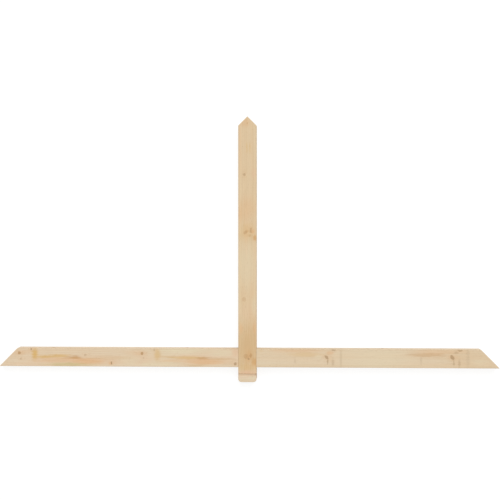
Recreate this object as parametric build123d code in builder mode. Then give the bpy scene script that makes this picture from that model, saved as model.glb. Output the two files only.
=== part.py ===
"""A timber gable bracket: a king post between the two halves of a tie beam, on a rounded foot block.

The bracket lies on its back, as it would unheld on a floor. X runs along the tie beam, Y runs up the
king post and Z comes out of the front faces. The origin is on the back plane, on the post's centre
line and level with the tie beam's lower edge, from where the span and the rise are measured.
"""

import os

from build123d import *

# Driving dimensions, in millimetres
span = 2438.4  # 96 in, tip to tip along the tie beam's lower edge
roof_run = 12.0  # the roof rises roof_rise in each roof_run, a 12 in 12 pitch
roof_rise = 12.0
timber_depth = 63.5  # 2-1/2 in, the planed depth of a nominal 3 in by 4 in timber
post_width = 88.9  # 3-1/2 in, the post's face
tie_height = 88.9  # 3-1/2 in, the tie beam's face
foot_drop = 73.0  # 2-7/8 in, from the tie beam's lower edge to the bottom of the foot block
foot_height = 39.7  # 1-9/16 in, the foot block's own height
foot_corner_radius = 16.0  # 5/8 in, the foot block's rounded lower corners
arris_radius = 1.6  # 1/16 in, the eased long edges of planed timber
joint_chamfer = 1.2  # on the post and on the block, so that they meet in a V joint

# What follows from them
pitch = roof_rise / roof_run
half_post = post_width / 2
rise = pitch * span / 2
shoulder_y = rise - pitch * half_post
tie_top_tip_x = span / 2 - tie_height / pitch
foot_bottom_y = -foot_drop
post_bottom_y = foot_bottom_y + foot_height

# The king post runs the whole height. Two cuts at the roof pitch bring its head to a point, so that
# it fits up under the ridge. Its long edges are eased, and its lower end is chamfered for the V joint.
with BuildPart() as king_post:
    with BuildSketch():
        with BuildLine():
            Polyline(
                (-half_post, post_bottom_y),
                (half_post, post_bottom_y),
                (half_post, shoulder_y),
                (0, rise),
                (-half_post, shoulder_y),
                close=True,
            )
        make_face()
    extrude(amount=timber_depth)
    fillet(king_post.edges().filter_by(Axis.Y), arris_radius)
    chamfer(king_post.faces().sort_by(Axis.Y)[0].edges(), joint_chamfer)
king_post.part.label = "king_post"

# Each half of the tie beam butts square against one side of the post. Its outer end is cut at the
# roof pitch, so that it fits against the underside of the sloping roof edge.
with BuildPart() as tie_beam_right:
    with BuildSketch():
        with BuildLine():
            Polyline(
                (half_post, 0),
                (span / 2, 0),
                (tie_top_tip_x, tie_height),
                (half_post, tie_height),
                close=True,
            )
        make_face()
    extrude(amount=timber_depth)
    fillet(tie_beam_right.edges().filter_by(Axis.X), arris_radius)
tie_beam_right.part.label = "tie_beam_right"

with BuildPart() as tie_beam_left:
    mirror(tie_beam_right.part, about=Plane.YZ)
tie_beam_left.part.label = "tie_beam_left"

# The foot block closes the lower end of the post. Its lower corners are rounded across its width.
# The edges of its front and back are eased in line with the post's, and its top is chamfered for the
# V joint under the post.
with BuildPart() as foot_block:
    with BuildSketch() as foot_outline:
        with Locations((0, foot_bottom_y)):
            Rectangle(post_width, foot_height, align=(Align.CENTER, Align.MIN))
        fillet(foot_outline.vertices().group_by(Axis.Y)[0], foot_corner_radius)
    extrude(amount=timber_depth)
    top_edges = foot_block.faces().sort_by(Axis.Y)[-1].edges()
    front_and_back_edges = foot_block.faces().filter_by(Axis.Z).edges()
    fillet(front_and_back_edges - top_edges, arris_radius)
    chamfer(foot_block.faces().sort_by(Axis.Y)[-1].edges(), joint_chamfer)
foot_block.part.label = "foot_block"

pieces = (king_post, tie_beam_left, tie_beam_right, foot_block)
os.makedirs("parts", exist_ok=True)
for piece in pieces:
    export_step(piece.part, f"parts/{piece.part.label}.step")
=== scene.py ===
import math

import bmesh
import bpy
from mathutils import Matrix, Vector, noise


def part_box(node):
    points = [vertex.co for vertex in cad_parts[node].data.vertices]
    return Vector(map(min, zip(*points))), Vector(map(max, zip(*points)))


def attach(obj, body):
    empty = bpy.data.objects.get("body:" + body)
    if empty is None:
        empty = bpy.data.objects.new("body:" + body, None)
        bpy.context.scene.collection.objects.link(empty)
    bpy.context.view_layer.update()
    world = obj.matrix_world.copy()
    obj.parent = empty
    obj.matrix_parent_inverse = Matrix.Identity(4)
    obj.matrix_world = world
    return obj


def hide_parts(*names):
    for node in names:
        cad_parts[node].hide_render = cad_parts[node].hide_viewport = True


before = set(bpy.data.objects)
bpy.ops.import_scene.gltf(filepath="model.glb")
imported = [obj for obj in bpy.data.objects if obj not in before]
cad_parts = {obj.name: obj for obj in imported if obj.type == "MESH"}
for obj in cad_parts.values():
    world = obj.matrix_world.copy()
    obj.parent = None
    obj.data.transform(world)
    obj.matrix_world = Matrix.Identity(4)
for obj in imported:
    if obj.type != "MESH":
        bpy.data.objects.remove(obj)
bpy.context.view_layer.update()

# King post: one planed softwood timber, sawn to a point at the head so that it fits up under the ridge.
# Its long edges are eased with a plane, and its foot is chamfered to make a V joint with the block below.
# The halves of the tie beam butt against its two sides and are fixed to it out of sight.
post_low, post_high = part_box("king_post")
front = post_high.z
roof_pitch = math.radians(45)
arris_radius = 0.0016
arris_steps = 4
arris_reach = 1.01 * arris_radius
arris_wander = 0.0003
stroke_scale = 9.0
station_spacing = 0.03
joint_chamfer = 0.0012
chamfer_steps = 1
sharpest_curve = math.radians(32)
saw_tolerance = 1e-6
touching = 1e-5
nearly_parallel = 0.999
along_x = Vector((1.0, 0.0, 0.0))
along_y = Vector((0.0, 1.0, 0.0))


def squared_blank(low, high):
    """A square-edged timber between two corners, as it leaves the saw."""
    timber = bmesh.new()
    bmesh.ops.create_cube(timber, size=1.0)
    bmesh.ops.scale(timber, vec=high - low, verts=timber.verts)
    bmesh.ops.translate(timber, vec=(low + high) / 2, verts=timber.verts)
    return timber


def saw_through(timber, point, outward, drop_outer=False):
    """Cuts along a plane, and drops what lies outside it where that is wanted."""
    whole = timber.verts[:] + timber.edges[:] + timber.faces[:]
    return bmesh.ops.bisect_plane(
        timber, geom=whole, dist=saw_tolerance, plane_co=point, plane_no=outward, clear_outer=drop_outer
    )


def pitch_cut(timber, point, side):
    """Saws a timber off at the roof pitch, on its left (-1) or its right (1), and closes the cut face."""
    outward = Vector((side * math.sin(roof_pitch), math.cos(roof_pitch), 0.0))
    made = saw_through(timber, point, outward, drop_outer=True)
    rim = [part for part in made["geom_cut"] if isinstance(part, bmesh.types.BMEdge)]
    bmesh.ops.edgeloop_fill(timber, edges=rim)


def edges_along(timber, direction):
    """The straight edges that run in one direction."""
    found = []
    for edge in timber.edges:
        run = (edge.verts[1].co - edge.verts[0].co).normalized()
        if abs(run.dot(direction)) > nearly_parallel:
            found.append(edge)
    return found


def edges_at(timber, height):
    """The edges that lie wholly at one height up the post."""
    return [edge for edge in timber.edges if all(abs(vert.co.y - height) < touching for vert in edge.verts)]


def ease(timber, edges, radius, steps):
    """Rounds edges, or chamfers them if there is one step."""
    bmesh.ops.bevel(
        timber, geom=edges, offset=radius, offset_type="OFFSET", segments=steps, profile=0.5,
        affect="EDGES", clamp_overlap=True, material=-1,
    )


def plane_arrises(timber, low, high, grain):
    """Flattens the eased long edges here and there, as the strokes of a hand plane do."""
    start, end = low.dot(grain), high.dot(grain)
    stations = int((end - start) / station_spacing)
    for step in range(1, stations):
        saw_through(timber, grain * (start + (end - start) * step / stations), grain)
    middle = (low + high) / 2
    half = (high - low) / 2
    sides = [axis for axis in range(3) if grain[axis] == 0]
    deepest_inset = arris_radius * (1 - math.cos(math.radians(45)))
    for vert in timber.verts:
        insets = [half[axis] - abs(vert.co[axis] - middle[axis]) for axis in sides]
        if max(insets) > arris_reach:
            continue
        stroke = 0.5 + 0.5 * noise.noise(vert.co * stroke_scale)
        shift = arris_wander * stroke * min(insets) / deepest_inset
        for axis in sides:
            vert.co[axis] -= math.copysign(shift, vert.co[axis] - middle[axis])


def timber_piece(name, timber, material, node):
    """Makes the finished timber an object that stands for its node."""
    bmesh.ops.recalc_face_normals(timber, faces=timber.faces)
    for face in timber.faces:
        face.smooth = True
    mesh = bpy.data.meshes.new(name)
    timber.to_mesh(mesh)
    timber.free()
    mesh.set_sharp_from_angle(angle=sharpest_curve)
    mesh.materials.append(material)
    piece = bpy.data.objects.new(name, mesh)
    bpy.context.scene.collection.objects.link(piece)
    flats = piece.modifiers.new("true_flats", "WEIGHTED_NORMAL")
    flats.keep_sharp = True
    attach(piece, "root")
    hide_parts(node)


def tone(red, green, blue):
    """A colour as it is seen on a screen, 0 to 255, turned into light by the usual screen curve."""
    light = []
    for level in (red, green, blue):
        share = level / 255
        light.append(share / 12.92 if share <= 0.04045 else ((share + 0.055) / 1.055) ** 2.4)
    return (*light, 1.0)


def add(tree, kind, inputs, **settings):
    """Adds a node, with its settings and with its inputs linked or set."""
    made = tree.nodes.new(kind)
    for name, value in settings.items():
        setattr(made, name, value)
    for socket, value in inputs.items():
        if isinstance(value, bpy.types.NodeSocket):
            tree.links.new(value, made.inputs[socket])
        else:
            made.inputs[socket].default_value = value
    return made


def calc(tree, operation, first, second=0.0):
    return add(tree, "ShaderNodeMath", {0: first, 1: second}, operation=operation).outputs[0]


def vector_calc(tree, operation, inputs):
    return add(tree, "ShaderNodeVectorMath", inputs, operation=operation).outputs


def combine(tree, operation, first, second):
    return vector_calc(tree, operation, {0: first, 1: second})["Vector"]


def stretch(tree, vector, factor):
    return vector_calc(tree, "SCALE", {0: vector, "Scale": factor})["Vector"]


def length(tree, vector):
    return vector_calc(tree, "LENGTH", {0: vector})["Value"]


def dot(tree, first, second):
    return vector_calc(tree, "DOT_PRODUCT", {0: first, 1: second})["Value"]


def fade(tree, value, start, end, low=0.0, high=1.0):
    """Goes softly from low to high as a value goes from start to end.

    The ranges for it are named values, (start, end, low, high), or (start, end) for 0 to 1.
    """
    inputs = {0: value, 1: start, 2: end, 3: low, 4: high}
    return add(tree, "ShaderNodeMapRange", inputs, interpolation_type="SMOOTHSTEP").outputs[0]


def mottle(tree, vector, scales, detail):
    """Cloudy noise, with a scale of its own along each axis."""
    spread = combine(tree, "MULTIPLY", vector, scales)
    return add(tree, "ShaderNodeTexNoise", {"Vector": spread, "Scale": 1.0, "Detail": detail}).outputs


def blend(tree, share, under, over):
    """Lays a share of one colour over another. Sockets 6 and 7 of a Mix node are its two colours."""
    inputs = {0: share, 6: under, 7: over}
    return add(tree, "ShaderNodeMix", inputs, data_type="RGBA").outputs[2]


def effect(name, inputs, outputs):
    """An empty node group with named sockets."""
    group = bpy.data.node_groups.new(name, "ShaderNodeTree")
    for socket, kind in inputs.items():
        group.interface.new_socket(socket, in_out="INPUT", socket_type="NodeSocket" + kind)
    for socket in outputs:
        group.interface.new_socket(socket, in_out="OUTPUT", socket_type="NodeSocketFloat")
    return group, group.nodes.new("NodeGroupInput").outputs, group.nodes.new("NodeGroupOutput").inputs


# Growth rings in the wood: the distance from the pith, which wanders along the trunk, in ring widths.
# Each ring goes slowly from pale early wood to dark late wood and then stops short, darker in some years.
# Fibres, resin flecks and slow drifts of colour run with the grain, and drying checks point at the pith.
mid_grey = (0.5, 0.5, 0.5)
across_grain = (0.0, 1.0, 1.0)
trunk_scales = (0.8, 3.0, 3.0)
trunk_bend = 0.045
ripple_scales = (7.0, 60.0, 60.0)
ripple_height = 0.003
years_scale = 60.0
years_swing = 1.6
late_onset = (0.25, 0.9)
ring_stop = (0.92, 1.0, 1.0, 0.0)
late_strengths = (0.0, 1.0, 0.3, 1.0)
fibre_scales = (16.0, 900.0, 900.0)
streak_scales = (3.0, 130.0, 130.0)
drift_scales = (1.4, 24.0, 24.0)
resin_scales = (60.0, 1100.0, 1100.0)
resin_cut = (0.74, 0.8)
checks_around = 60.0
checks_inward = 12.0
check_scales = (1.0, 1.0, 1.0)
check_cut = (0.69, 0.74)

rings, given, result = effect(
    "growth_rings",
    {"Grain": "Vector", "Pith": "Vector", "Ring Width": "Float", "Lift": "Float", "Seed": "Float"},
    ("Late Wood", "Fibre", "Streak", "Drift", "Resin", "Check"),
)
seed_step = add(rings, "ShaderNodeCombineXYZ", {axis: given["Seed"] for axis in range(3)}).outputs[0]
place = combine(rings, "ADD", given["Grain"], seed_step)
bend = mottle(rings, place, trunk_scales, detail=1.0)["Color"]
bend = stretch(rings, combine(rings, "SUBTRACT", bend, mid_grey), trunk_bend)
across = combine(rings, "ADD", combine(rings, "SUBTRACT", given["Grain"], given["Pith"]), bend)
across = combine(rings, "MULTIPLY", across, across_grain)
ripple = calc(rings, "MULTIPLY", mottle(rings, place, ripple_scales, detail=2.0)[0], ripple_height)
depth = calc(rings, "ADD", calc(rings, "ADD", length(rings, across), ripple), given["Lift"])
inputs = {"W": depth, "Scale": years_scale, "Detail": 1.0}
good_years = add(rings, "ShaderNodeTexNoise", inputs, noise_dimensions="1D").outputs[0]
good_years = calc(rings, "MULTIPLY", good_years, years_swing)
phase = calc(rings, "ADD", calc(rings, "DIVIDE", depth, given["Ring Width"]), good_years)
ring_number = calc(rings, "ADD", calc(rings, "FLOOR", phase), given["Seed"])
vigour = add(rings, "ShaderNodeTexWhiteNoise", {"W": ring_number}, noise_dimensions="1D").outputs["Value"]
season = calc(rings, "FRACT", phase)
late = calc(rings, "MULTIPLY", fade(rings, season, *late_onset), fade(rings, season, *ring_stop))
late = calc(rings, "MULTIPLY", late, fade(rings, vigour, *late_strengths))
fibre = mottle(rings, place, fibre_scales, detail=3.0)[0]
streak = mottle(rings, place, streak_scales, detail=3.0)[0]
drift = mottle(rings, place, drift_scales, detail=2.0)[0]
resin = fade(rings, mottle(rings, place, resin_scales, detail=0.0)[0], *resin_cut)
sides = add(rings, "ShaderNodeSeparateXYZ", {0: across}).outputs
around = calc(rings, "MULTIPLY", calc(rings, "ARCTAN2", sides["Y"], sides["Z"]), checks_around)
inward = calc(rings, "MULTIPLY", depth, checks_inward)
ray = add(rings, "ShaderNodeCombineXYZ", {0: around, 1: inward, 2: given["Seed"]}).outputs[0]
check = fade(rings, mottle(rings, ray, check_scales, detail=1.0)[0], *check_cut)
for socket, value in zip(result, (late, fibre, streak, drift, resin, check)):
    rings.links.new(value, socket)

# Knots: a branch that grew out through the trunk, cut across where it meets a face.
# It has rings, a heart and a drying shake of its own, and its rim of bark is dark and broken.
# The wood that flows round it holds resin, and the trunk's rings bulge to pass it.
branch_length = 0.055
thinnest_twig = 0.0002
rooting = (0.0, 0.3)
rim_raggedness = 0.7
core_edge = (1.05, 1.45, 1.0, 0.0)
branch_rings = 30.0
branch_seasons = (-1.0, 1.0, 0.6, 1.0)
bark_inside = (1.08, 1.24)
bark_outside = (1.3, 1.46, 1.0, 0.0)
bark_breaks = (0.4, 0.58)
heart_edge = (0.06, 0.22, 1.0, 0.0)
shake_across = (0.35, 1.0, 0.2)
shake_edge = (0.0002, 0.0006, 1.0, 0.0)
shake_end = (0.5, 0.75, 0.8, 0.0)
flow_squeeze = (0.36, 1.0, 1.0)
halo_edge = (0.4, 2.8, 1.0, 0.0)
bulge_edge = (0.0, 2.8, 1.0, 0.0)
bulge_height = 1.3

knots, given, result = effect(
    "branch_knot",
    {"Grain": "Vector", "Place": "Vector", "Branch": "Vector", "Radius": "Float", "Streak": "Float"},
    ("Core", "Rim", "Halo", "Lift"),
)
offset = combine(knots, "SUBTRACT", given["Grain"], given["Place"])
outward = dot(knots, offset, given["Branch"])
off_axis = combine(knots, "SUBTRACT", offset, stretch(knots, given["Branch"], outward))
growth = calc(knots, "ADD", calc(knots, "DIVIDE", outward, branch_length), 1.0)
grown = fade(knots, growth, *rooting)
girth = calc(knots, "MAXIMUM", calc(knots, "MULTIPLY", growth, given["Radius"]), thinnest_twig)
share = calc(knots, "DIVIDE", length(knots, off_axis), girth)
ragged = calc(knots, "ADD", share, calc(knots, "MULTIPLY", given["Streak"], rim_raggedness))
core = calc(knots, "MULTIPLY", fade(knots, ragged, *core_edge), grown)
year = calc(knots, "SINE", calc(knots, "MULTIPLY", ragged, branch_rings))
core = calc(knots, "MULTIPLY", core, fade(knots, year, *branch_seasons))
bark = calc(knots, "MULTIPLY", fade(knots, ragged, *bark_inside), fade(knots, ragged, *bark_outside))
bark = calc(knots, "MULTIPLY", bark, fade(knots, given["Streak"], *bark_breaks))
heart = fade(knots, share, *heart_edge)
shake = fade(knots, calc(knots, "ABSOLUTE", dot(knots, off_axis, shake_across)), *shake_edge)
shake = calc(knots, "MULTIPLY", shake, fade(knots, share, *shake_end))
rim = calc(knots, "MAXIMUM", bark, calc(knots, "MAXIMUM", heart, shake))
rim = calc(knots, "MULTIPLY", rim, grown)
flow = calc(knots, "DIVIDE", length(knots, combine(knots, "MULTIPLY", off_axis, flow_squeeze)), girth)
halo = calc(knots, "MULTIPLY", fade(knots, flow, *halo_edge), grown)
bulge = fade(knots, flow, *bulge_edge)
lift = calc(knots, "MULTIPLY", girth, bulge_height)
lift = calc(knots, "MULTIPLY", calc(knots, "MULTIPLY", bulge, bulge), lift)
for socket, value in zip(result, (core, rim, halo, lift)):
    knots.links.new(value, socket)

# Stains: resin, heartwood colour or old dirt in the face of the wood; in the V joint, dirt and painted shade.
# It soaked in along the fibres, so its edge frays, and the dense late wood took up less of it.
streak_fray = 0.8
fibre_fray = 1.4
stain_edge = (1.35, 2.25, 1.0, 0.0)
late_wood_uptake = (0.0, 0.8, 1.0, 0.75)

stains, given, result = effect(
    "wood_stain",
    {
        "Grain": "Vector",
        "Place": "Vector",
        "Reach": "Vector",
        "Streak": "Float",
        "Fibre": "Float",
        "Late Wood": "Float",
    },
    ("Share",),
)
offset = combine(stains, "SUBTRACT", given["Grain"], given["Place"])
offset = combine(stains, "DIVIDE", offset, given["Reach"])
fray = calc(stains, "MULTIPLY", given["Streak"], streak_fray)
fray = calc(stains, "ADD", fray, calc(stains, "MULTIPLY", given["Fibre"], fibre_fray))
share = fade(stains, calc(stains, "ADD", length(stains, offset), fray), *stain_edge)
share = calc(stains, "MULTIPLY", share, fade(stains, given["Late Wood"], *late_wood_uptake))
stains.links.new(share, result["Share"])

# Arris wear: the long edges of a squared timber, which hands and other timbers rub and soil.
# It is strongest on the edge itself, and comes and goes along the grain.
rubbed_edge = (0.001, 0.007, 1.0, 0.0)
rub_breaks = (0.35, 0.7, 0.3, 1.0)

arrises, given, result = effect(
    "arris_wear", {"Grain": "Vector", "Low": "Vector", "High": "Vector", "Streak": "Float"}, ("Wear",)
)
below = combine(arrises, "SUBTRACT", given["Grain"], given["Low"])
above = combine(arrises, "SUBTRACT", given["High"], given["Grain"])
inset = combine(arrises, "MULTIPLY", combine(arrises, "MINIMUM", below, above), across_grain)
wear = fade(arrises, length(arrises, inset), *rubbed_edge)
wear = calc(arrises, "MULTIPLY", wear, fade(arrises, given["Streak"], *rub_breaks))
arrises.links.new(wear, result["Wear"])

# Softwood: bare timber, planed on its long faces and sawn across its ends, with nothing put on it.
# The figure runs through the whole piece, so each face shows its own cut of the same rings and knots.
# Planed faces keep raised late wood, fibres and faint knife marks, and cut ends keep saw marks and checks.
live_knot = tone(184, 140, 92)
dry_knot = tone(168, 136, 100)
knot_rim = tone(140, 102, 66)
rim_strength = 0.6
resin_halo = tone(216, 172, 122)
halo_strength = 0.35
resin_fleck = tone(176, 132, 86)
fleck_strength = 0.5
soiled = tone(196, 168, 132)
soil_strength = 0.3
end_early = tone(206, 172, 128)
end_late = tone(166, 124, 82)
end_strength = 0.75
end_turn = (0.3, 0.72)
end_check = tone(126, 92, 60)
check_strength = 0.55
warm_drift = (0.5, 0.72, 0.0, 0.6)
pale_drift = (0.5, 0.3, 0.0, 0.6)
fibre_light = (0.2, 0.8, 0.94, 1.05)
stain_depth = 0.03
unrest_scales = (60.0, 160.0, 160.0)
unrest_reach = 0.008
planed_roughness = (0.0, 1.0, 0.66, 0.54)
sawn_roughness = 0.2
late_relief = 0.00003
fibre_relief = 0.00008
knife_pitch = 0.0025
knife_relief = 0.0000015
saw_scales = (4.0, 4.0, 420.0)
saw_relief = 0.0003
check_relief = 0.0008


def softwood(name, node, turn, pith, ring_width, seed, shades, branch_knots, patches):
    """Solid softwood, sawn from a trunk.

    The turn about Z brings the way that the fibres run onto X, and the pith is where the heart of the trunk
    lies across that, in Y and Z. The shades are early wood, late wood, and a warm and a pale drift. Knots are
    (place, branch, radius, wood, strength). Patches lie on the front: (x, y, half length with the grain,
    half width, colour, strength).
    """
    early, late, warm, pale = shades
    with_grain = Matrix.Rotation(turn, 3, "Z")
    corners = [with_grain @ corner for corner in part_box(node)]
    low = [min(pair) for pair in zip(*corners)]
    high = [max(pair) for pair in zip(*corners)]

    material = bpy.data.materials.new(name)
    material.use_nodes = True
    tree = material.node_tree
    surface = tree.nodes["Principled BSDF"]
    where = tree.nodes.new("ShaderNodeTexCoord").outputs["Object"]
    where = add(tree, "ShaderNodeMapping", {"Vector": where, "Rotation": (0.0, 0.0, turn)}).outputs["Vector"]
    unrest = mottle(tree, where, unrest_scales, detail=2.0)
    shiver = stretch(tree, combine(tree, "SUBTRACT", unrest["Color"], mid_grey), unrest_reach)
    loose = combine(tree, "ADD", where, shiver)

    def tinted(under, mask, strength, over):
        return blend(tree, calc(tree, "MULTIPLY", mask, strength), under, over)

    lift = 0.0
    grown = []
    for spot, branch, radius, wood, strength in branch_knots:
        inputs = {
            "Grain": loose,
            "Place": with_grain @ Vector(spot),
            "Branch": with_grain @ Vector(branch).normalized(),
            "Radius": radius,
            "Streak": unrest[0],
        }
        knot = add(tree, "ShaderNodeGroup", inputs, node_tree=knots).outputs
        lift = calc(tree, "ADD", knot["Lift"], lift)
        grown.append((knot, wood, strength))

    inputs = {"Grain": where, "Pith": (0.0, *pith), "Ring Width": ring_width, "Lift": lift, "Seed": seed}
    figure = add(tree, "ShaderNodeGroup", inputs, node_tree=rings).outputs
    colour = blend(tree, figure["Late Wood"], early, late)
    colour = blend(tree, fade(tree, figure["Drift"], *warm_drift), colour, warm)
    colour = blend(tree, fade(tree, figure["Drift"], *pale_drift), colour, pale)
    for x, y, half_length, half_width, shade, strength in patches:
        inputs = {
            "Grain": loose,
            "Place": with_grain @ Vector((x, y, front)),
            "Reach": (half_length, half_width, stain_depth),
            "Streak": figure["Streak"],
            "Fibre": figure["Fibre"],
            "Late Wood": figure["Late Wood"],
        }
        patch = add(tree, "ShaderNodeGroup", inputs, node_tree=stains).outputs
        colour = tinted(colour, patch["Share"], strength, shade)
    for knot, wood, strength in grown:
        colour = tinted(colour, knot["Halo"], halo_strength * strength, resin_halo)
        colour = tinted(colour, knot["Core"], strength, wood)
        colour = tinted(colour, knot["Rim"], rim_strength * strength, knot_rim)
    colour = tinted(colour, figure["Resin"], fleck_strength, resin_fleck)
    inputs = {"Grain": where, "Low": low, "High": high, "Streak": figure["Streak"]}
    wear = add(tree, "ShaderNodeGroup", inputs, node_tree=arrises).outputs["Wear"]
    colour = tinted(colour, wear, soil_strength, soiled)

    facing = tree.nodes.new("ShaderNodeNewGeometry").outputs["Normal"]
    grain = with_grain.inverted() @ along_x
    end_on = fade(tree, calc(tree, "ABSOLUTE", dot(tree, facing, grain)), *end_turn)
    end_wood = blend(tree, figure["Late Wood"], end_early, end_late)
    colour = tinted(colour, end_on, end_strength, end_wood)
    split = calc(tree, "MULTIPLY", figure["Check"], end_on)
    colour = tinted(colour, split, check_strength, end_check)
    light = fade(tree, figure["Fibre"], *fibre_light)
    colour = add(tree, "ShaderNodeHueSaturation", {"Value": light, "Color": colour}).outputs["Color"]
    tree.links.new(colour, surface.inputs["Base Color"])

    roughness = fade(tree, figure["Late Wood"], *planed_roughness)
    roughness = calc(tree, "ADD", roughness, calc(tree, "MULTIPLY", end_on, sawn_roughness))
    tree.links.new(roughness, surface.inputs["Roughness"])
    run = add(tree, "ShaderNodeSeparateXYZ", {0: where}).outputs["X"]
    knife_marks = calc(tree, "SINE", calc(tree, "MULTIPLY", run, 2 * math.pi / knife_pitch))
    planed = calc(tree, "MULTIPLY", figure["Late Wood"], late_relief)
    planed = calc(tree, "ADD", planed, calc(tree, "MULTIPLY", figure["Fibre"], fibre_relief))
    planed = calc(tree, "ADD", planed, calc(tree, "MULTIPLY", knife_marks, knife_relief))
    sawn = calc(tree, "MULTIPLY", mottle(tree, where, saw_scales, detail=2.0)[0], saw_relief)
    sawn = calc(tree, "SUBTRACT", sawn, calc(tree, "MULTIPLY", split, check_relief))
    height = add(tree, "ShaderNodeMix", {0: end_on, 2: planed, 3: sawn}, data_type="FLOAT").outputs[0]
    relief = add(tree, "ShaderNodeBump", {"Height": height, "Strength": 1.0, "Distance": 1.0})
    tree.links.new(relief.outputs["Normal"], surface.inputs["Normal"])
    surface.inputs["Specular IOR Level"].default_value = 0.3
    return material


honey = tone(214, 174, 106)
amber = tone(194, 148, 94)
peach = tone(222, 174, 124)
orange = tone(206, 158, 98)
rose = tone(226, 188, 154)
cream = tone(226, 212, 180)
tan = tone(208, 174, 126)
# Dark brown for the V joint: dirt, with painted shade of the groove laid into the colour.
joint_dirt_and_shade = tone(172, 132, 104)

post_shades = (tone(225, 201, 165), tone(210, 180, 138), tone(224, 190, 150), tone(224, 203, 168))
post_knots = [
    ((-0.001, 1.186, front), (0.1, 0.4, 1.0), 0.004, live_knot, 0.45),
    ((-0.0154, 0.937, front), (0.1, 0.4, 1.0), 0.0065, dry_knot, 0.5),
    ((-0.010, 0.656, front), (0.6, 0.6, 1.0), 0.0075, live_knot, 0.45),
    ((0.017, 0.664, front), (0.1, 1.9, 1.0), 0.006, live_knot, 0.5),
    ((-0.0155, 0.331, front), (-0.2, 0.4, 1.0), 0.010, live_knot, 0.3),
    ((-0.005, 0.052, front), (-0.3, 0.4, 1.0), 0.011, live_knot, 0.45),
    ((0.0166, 0.055, front), (0.1, 1.5, 1.0), 0.006, live_knot, 0.6),
    ((0.006, 0.040, front), (0.0, 0.3, 1.0), 0.0045, dry_knot, 0.85),
    ((post_low.x, 0.84, 0.034), (-1.0, 0.4, 0.1), 0.009, live_knot, 0.7),
    ((post_high.x, 0.47, 0.025), (1.0, 0.4, -0.1), 0.010, live_knot, 0.7),
    ((post_low.x, 0.24, 0.022), (-1.0, 0.3, -0.1), 0.008, dry_knot, 0.7),
    ((0.018, 0.78, 0.0), (0.2, 0.4, -1.0), 0.010, live_knot, 0.7),
    ((-0.020, 0.36, 0.0), (-0.2, 0.4, -1.0), 0.008, dry_knot, 0.7),
]
post_patches = [
    (0.0, 0.100, 0.155, 0.085, tan, 0.75),
    (0.0, 0.270, 0.050, 0.060, rose, 0.2),
    (0.032, 0.300, 0.055, 0.018, cream, 0.4),
    (0.0, 0.500, 0.140, 0.060, cream, 0.45),
    (0.0, 0.775, 0.070, 0.060, peach, 0.3),
    (-0.032, 0.735, 0.060, 0.016, peach, 0.3),
    (0.0, 0.660, 0.055, 0.060, honey, 0.3),
    (0.038, 0.631, 0.018, 0.015, orange, 0.75),
    (0.012, 0.642, 0.008, 0.012, amber, 0.4),
    (0.000, 0.663, 0.008, 0.007, amber, 0.5),
    (0.027, 0.661, 0.014, 0.012, peach, 0.6),
    (-0.002, 1.070, 0.035, 0.006, honey, 0.4),
    (0.0115, 1.068, 0.035, 0.005, honey, 0.35),
    (0.030, 0.943, 0.035, 0.016, rose, 0.4),
    (-0.008, 1.190, 0.030, 0.030, peach, 0.35),
    (-0.031, 0.188, 0.036, 0.016, peach, 0.45),
    (0.036, 0.192, 0.032, 0.014, peach, 0.35),
    (0.008, 0.058, 0.032, 0.018, orange, 0.35),
    (0.034, 0.024, 0.026, 0.018, orange, 0.7),
    (0.0, 0.0, 0.022, 0.060, honey, 0.25),
    (0.0, -0.026, 0.014, 0.060, rose, 0.8),
    # The last three patches darken the V joint along the foot and more at its two ends: dirt and painted
    # shade.
    (0.0, post_low.y, 0.005, 0.090, joint_dirt_and_shade, 0.35),
    (-0.044, post_low.y, 0.006, 0.009, joint_dirt_and_shade, 0.5),
    (0.044, post_low.y, 0.006, 0.009, joint_dirt_and_shade, 0.5),
]
post_wood = softwood(
    "post_softwood", "king_post", turn=math.radians(-90), pith=(0.14, 0.02), ring_width=0.0026, seed=3.1,
    shades=post_shades, branch_knots=post_knots, patches=post_patches,
)

post = squared_blank(post_low, post_high)
apex = Vector((0.0, post_high.y, 0.0))
pitch_cut(post, apex, side=-1)
pitch_cut(post, apex, side=1)
ease(post, edges_along(post, along_y), arris_radius, arris_steps)
ease(post, edges_at(post, post_low.y), joint_chamfer, chamfer_steps)
plane_arrises(post, post_low, post_high, along_y)
timber_piece("king_post_timber", post, post_wood, "king_post")

# Tie beam: two planed softwood timbers in line, one each side of the post, butted against it.
# Each outer end is sawn at the roof pitch, so that it fits under the sloping roof edge.
tie_low, tie_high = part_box("tie_beam_left")
tie_top = tie_high.y
straight = 0.0
straw = tone(204, 186, 136)
umber = tone(160, 130, 94)

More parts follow.
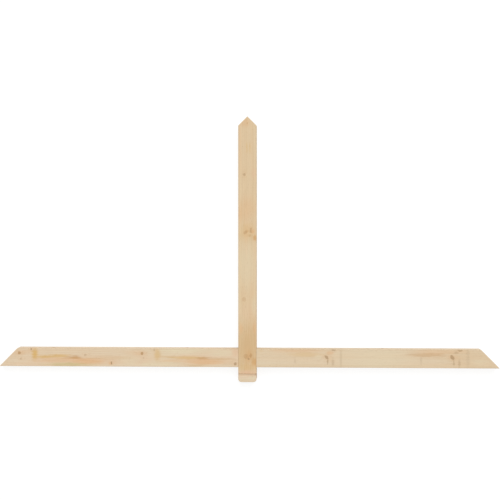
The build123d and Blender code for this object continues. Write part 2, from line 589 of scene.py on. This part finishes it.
left_shades = (tone(225, 203, 173), tone(214, 185, 149), tone(226, 197, 165), tone(224, 207, 179))
left_knots = [
    ((-1.121, 0.0655, front), (-0.3, 0.2, 1.0), 0.0075, live_knot, 0.9),
    ((-1.1135, 0.036, front), (0.3, 0.2, 1.0), 0.0045, dry_knot, 0.4),
    ((-0.795, 0.056, front), (0.3, -0.2, 1.0), 0.006, dry_knot, 0.3),
    ((-0.515, 0.0645, front), (-0.3, 0.2, 1.0), 0.0070, live_knot, 0.9),
    ((-0.509, 0.043, front), (0.3, 0.2, 1.0), 0.0045, dry_knot, 0.2),
    ((-0.059, 0.0165, front), (0.2, 0.2, 1.0), 0.0075, dry_knot, 0.75),
    ((-1.062, 0.083, front), (0.0, 1.7, 1.0), 0.0035, dry_knot, 0.75),
    ((-0.666, 0.0174, front), (0.0, 1.7, 1.0), 0.0035, dry_knot, 0.95),
    ((-0.455, 0.081, front), (0.0, 1.7, 1.0), 0.0035, dry_knot, 0.35),
    ((-0.955, tie_top, 0.032), (0.4, 1.0, 0.1), 0.009, live_knot, 0.7),
    ((-0.300, tie_top, 0.021), (0.4, 1.0, -0.1), 0.008, live_knot, 0.7),
    ((-0.690, 0.050, 0.0), (0.3, 0.1, -1.0), 0.010, live_knot, 0.7),
    ((-0.140, 0.030, 0.0), (0.3, -0.1, -1.0), 0.008, dry_knot, 0.7),
]
left_patches = [
    (-0.580, 0.030, 0.060, 0.030, cream, 0.4),
    (-0.480, 0.012, 0.055, 0.014, cream, 0.45),
    (-0.400, 0.025, 0.090, 0.040, cream, 0.4),
    (-0.330, 0.080, 0.160, 0.024, cream, 0.85),
    (-1.088, 0.070, 0.045, 0.014, peach, 0.2),
    (-1.044, 0.060, 0.021, 0.037, honey, 0.95),
    (-0.995, 0.0475, 0.060, 0.010, honey, 0.8),
    (-0.925, 0.050, 0.065, 0.013, honey, 0.72),
    (-0.875, 0.042, 0.045, 0.010, amber, 0.35),
    (-0.842, 0.043, 0.036, 0.011, amber, 0.85),
    (-0.930, 0.031, 0.160, 0.018, peach, 0.45),
    (-0.880, 0.010, 0.150, 0.012, straw, 0.8),
    (-0.780, 0.026, 0.100, 0.018, peach, 0.65),
    (-0.680, 0.043, 0.150, 0.011, tan, 0.3),
    (-0.672, 0.016, 0.010, 0.010, peach, 0.4),
    (-0.555, 0.066, 0.050, 0.016, peach, 0.15),
    (-0.440, 0.063, 0.019, 0.038, honey, 0.55),
    (-0.390, 0.049, 0.060, 0.007, tan, 0.45),
    (-0.290, 0.045, 0.100, 0.011, honey, 0.6),
    (-0.220, 0.042, 0.040, 0.009, amber, 0.65),
    (-0.205, 0.025, 0.130, 0.017, peach, 0.65),
    (-0.375, 0.030, 0.070, 0.008, peach, 0.35),
    (-0.120, 0.040, 0.080, 0.009, tan, 0.45),
    (-0.255, 0.0075, 0.080, 0.006, tan, 0.5),
    (-0.125, 0.070, 0.085, 0.022, cream, 0.5),
    (-0.058, 0.074, 0.022, 0.026, rose, 0.6),
]
left_wood = softwood(
    "left_tie_softwood", "tie_beam_left", turn=straight, pith=(0.03, -0.05), ring_width=0.0032, seed=7.7,
    shades=left_shades, branch_knots=left_knots, patches=left_patches,
)

right_shades = (tone(224, 204, 174), tone(214, 188, 152), tone(224, 198, 164), tone(223, 207, 178))
right_knots = [
    ((0.383, 0.0525, front), (0.9, -0.9, 1.0), 0.0068, dry_knot, 0.75),
    ((0.418, 0.0876, front), (1.6, 0.2, 1.0), 0.006, dry_knot, 0.55),
    ((0.990, 0.0535, front), (0.9, -0.9, 1.0), 0.0078, dry_knot, 0.8),
    ((1.027, 0.088, front), (1.6, 0.2, 1.0), 0.006, dry_knot, 0.65),
    ((0.660, tie_top, 0.021), (0.4, 1.0, -0.1), 0.009, live_knot, 0.7),
    ((0.200, tie_low.y, 0.035), (0.4, -1.0, 0.0), 0.009, live_knot, 0.7),
    ((0.560, 0.040, 0.0), (0.3, 0.1, -1.0), 0.010, live_knot, 0.7),
    ((0.890, 0.062, 0.0), (0.3, 0.1, -1.0), 0.007, dry_knot, 0.7),
]
right_patches = [
    (0.620, 0.045, 0.200, 0.080, cream, 0.4),
    (1.080, 0.050, 0.170, 0.080, tan, 0.2),
    (0.067, 0.080, 0.014, 0.008, honey, 0.2),
    (0.237, 0.0835, 0.180, 0.013, peach, 0.45),
    (0.278, 0.063, 0.100, 0.013, honey, 0.35),
    (0.232, 0.033, 0.007, 0.020, umber, 0.2),
    (0.343, 0.051, 0.018, 0.014, cream, 0.4),
    (0.390, 0.030, 0.005, 0.019, umber, 0.58),
    (0.402, 0.072, 0.022, 0.010, peach, 0.5),
    (0.4155, 0.026, 0.008, 0.024, umber, 0.3),
    (0.454, 0.045, 0.007, 0.070, umber, 0.2),
    (0.872, 0.064, 0.110, 0.013, amber, 0.45),
    (0.920, 0.082, 0.150, 0.016, peach, 0.33),
    (1.011, 0.075, 0.013, 0.008, umber, 0.3),
    (0.841, 0.036, 0.007, 0.020, umber, 0.2),
    (0.999, 0.027, 0.005, 0.024, umber, 0.42),
    (1.0254, 0.0234, 0.008, 0.026, umber, 0.35),
    (1.0665, 0.049, 0.010, 0.070, umber, 0.15),
    (1.125, 0.030, 0.055, 0.022, cream, 0.35),
]
right_wood = softwood(
    "right_tie_softwood", "tie_beam_right", turn=straight, pith=(0.12, -0.02), ring_width=0.0045, seed=12.3,
    shades=right_shades, branch_knots=right_knots, patches=right_patches,
)

for node, wood, side in (("tie_beam_left", left_wood, -1), ("tie_beam_right", right_wood, 1)):
    low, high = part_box(node)
    tie = squared_blank(low, high)
    tip = Vector((side * max(abs(low.x), abs(high.x)), low.y, 0.0))
    pitch_cut(tie, tip, side)
    ease(tie, edges_along(tie, along_x), arris_radius, arris_steps)
    plane_arrises(tie, low, high, along_x)
    timber_piece(node + "_timber", tie, wood, node)

# Foot block: a short block of the same softwood with its grain lying across, fixed under the post's end.
# Its lower corners are rounded, and its top edges are chamfered to make the V joint.
foot_low, foot_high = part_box("foot_block")
foot_corner_radius = 0.016
foot_corner_steps = 10
along_z = Vector((0.0, 0.0, 1.0))

foot_shades = (tone(228, 210, 183), tone(216, 190, 152), tone(226, 202, 174), tone(228, 213, 188))
foot_knots = [((0.0, foot_low.y, 0.02), (0.2, -1.0, 0.1), 0.008, live_knot, 0.7)]
foot_patches = [
    (0.0, -0.040, 0.090, 0.010, rose, 0.4),
    (0.025, -0.052, 0.024, 0.008, cream, 0.6),
    (-0.010, -0.060, 0.050, 0.004, straw, 0.2),
    # The last three patches darken the V joint along the top and more at its two ends: dirt and painted
    # shade.
    (0.0, foot_high.y, 0.150, 0.005, joint_dirt_and_shade, 0.35),
    (-0.044, foot_high.y, 0.010, 0.006, joint_dirt_and_shade, 0.5),
    (0.044, foot_high.y, 0.010, 0.006, joint_dirt_and_shade, 0.5),
]
foot_wood = softwood(
    "foot_softwood", "foot_block", turn=straight, pith=(0.02, -0.06), ring_width=0.0045, seed=21.9,
    shades=foot_shades, branch_knots=foot_knots, patches=foot_patches,
)

foot = squared_blank(foot_low, foot_high)
half_way = (foot_low.y + foot_high.y) / 2
lower_corners = [edge for edge in edges_along(foot, along_z) if edge.verts[0].co.y < half_way]
ease(foot, lower_corners, foot_corner_radius, foot_corner_steps)
depthwise = edges_along(foot, along_z)
top_rim = edges_at(foot, foot_high.y)
outline = [edge for edge in foot.edges if edge not in depthwise and edge not in top_rim]
ease(foot, outline, arris_radius, arris_steps)
ease(foot, edges_at(foot, foot_high.y), joint_chamfer, chamfer_steps)
timber_piece("foot_block_timber", foot, foot_wood, "foot_block")

# Studio: a plain white floor that the bracket lies on, an even white sky and one broad soft light from the
# upper right. Floor and sky are white to the camera and in reflections. To the wood they send less light, so
# that it shows about its own colours, and the floor keeps a faint shadow.
floor_size = 60.0
floor_gap = 0.0002
floor_bounce = (0.8, 0.8, 0.8, 1.0)
floor_shadow = (0.23, 0.23, 0.23, 1.0)
floor_glow = 0.83
white = (1.0, 1.0, 1.0, 1.0)
sky_light = 0.65
sky_look = 1.0

floor_mesh = bpy.data.meshes.new("floor")
sheet = bmesh.new()
bmesh.ops.create_grid(sheet, x_segments=1, y_segments=1, size=floor_size / 2)
bmesh.ops.translate(sheet, vec=(0.0, 0.0, -floor_gap), verts=sheet.verts)
sheet.to_mesh(floor_mesh)
sheet.free()
floor = bpy.data.objects.new("floor", floor_mesh)
bpy.context.scene.collection.objects.link(floor)


def looked_at(tree):
    """Is 1 where the camera looks, straight, in a mirror or through glass, and 0 where light only bounces."""
    path = tree.nodes.new("ShaderNodeLightPath").outputs
    seen = calc(tree, "MAXIMUM", path["Is Camera Ray"], path["Is Glossy Ray"])
    return calc(tree, "MAXIMUM", seen, path["Is Transmission Ray"])


paper = bpy.data.materials.new("white_floor")
paper.use_nodes = True
tree = paper.node_tree
tree.nodes.clear()
bounce = add(tree, "ShaderNodeBsdfDiffuse", {"Color": floor_bounce}).outputs[0]
shadow = add(tree, "ShaderNodeBsdfDiffuse", {"Color": floor_shadow}).outputs[0]
glow = add(tree, "ShaderNodeEmission", {"Strength": floor_glow}).outputs[0]
shown = add(tree, "ShaderNodeAddShader", {0: shadow, 1: glow}).outputs[0]
mixed = add(tree, "ShaderNodeMixShader", {0: looked_at(tree), 1: bounce, 2: shown}).outputs[0]
add(tree, "ShaderNodeOutputMaterial", {"Surface": mixed})
floor_mesh.materials.append(paper)

sky = bpy.data.worlds.new("studio")
bpy.context.scene.world = sky
sky.use_nodes = True
tree = sky.node_tree
tree.nodes.clear()
dome = add(tree, "ShaderNodeBackground", {"Color": white, "Strength": sky_light}).outputs[0]
backdrop = add(tree, "ShaderNodeBackground", {"Color": white, "Strength": sky_look}).outputs[0]
mixed = add(tree, "ShaderNodeMixShader", {0: looked_at(tree), 1: dome, 2: backdrop}).outputs[0]
add(tree, "ShaderNodeOutputWorld", {"Surface": mixed})

lamp = bpy.data.lights.new("soft_light", "SUN")
lamp.energy = 1.32
lamp.angle = math.radians(40)
lamp_object = bpy.data.objects.new("soft_light", lamp)
lamp_object.rotation_euler = (math.radians(-36), math.radians(10), 0.0)
bpy.context.scene.collection.objects.link(lamp_object)

# Camera: a little above the middle of the bracket and to the right of the post, with a long lens.
# Its lens and place were fitted to the bracket's edges in the picture.
image_width = 500
focal_pixels = 966.2
camera_turn = 0.03634
camera_tilt = -0.02084
camera_distance = 4.6937
aim_x = 0.01285
camera_y = 0.66932
camera = bpy.data.cameras.new("camera")
camera.sensor_width = 36.0
camera.lens = camera.sensor_width * focal_pixels / image_width
camera.clip_end = 100.0
camera_object = bpy.data.objects.new("camera", camera)
camera_object.location = (
    aim_x + camera_distance * math.sin(camera_turn),
    camera_y,
    front + camera_distance * math.cos(camera_turn),
)
camera_object.rotation_euler = (camera_tilt, camera_turn, 0.0)
bpy.context.scene.collection.objects.link(camera_object)
bpy.context.scene.camera = camera_object
bpy.context.scene.view_settings.view_transform = "Standard"
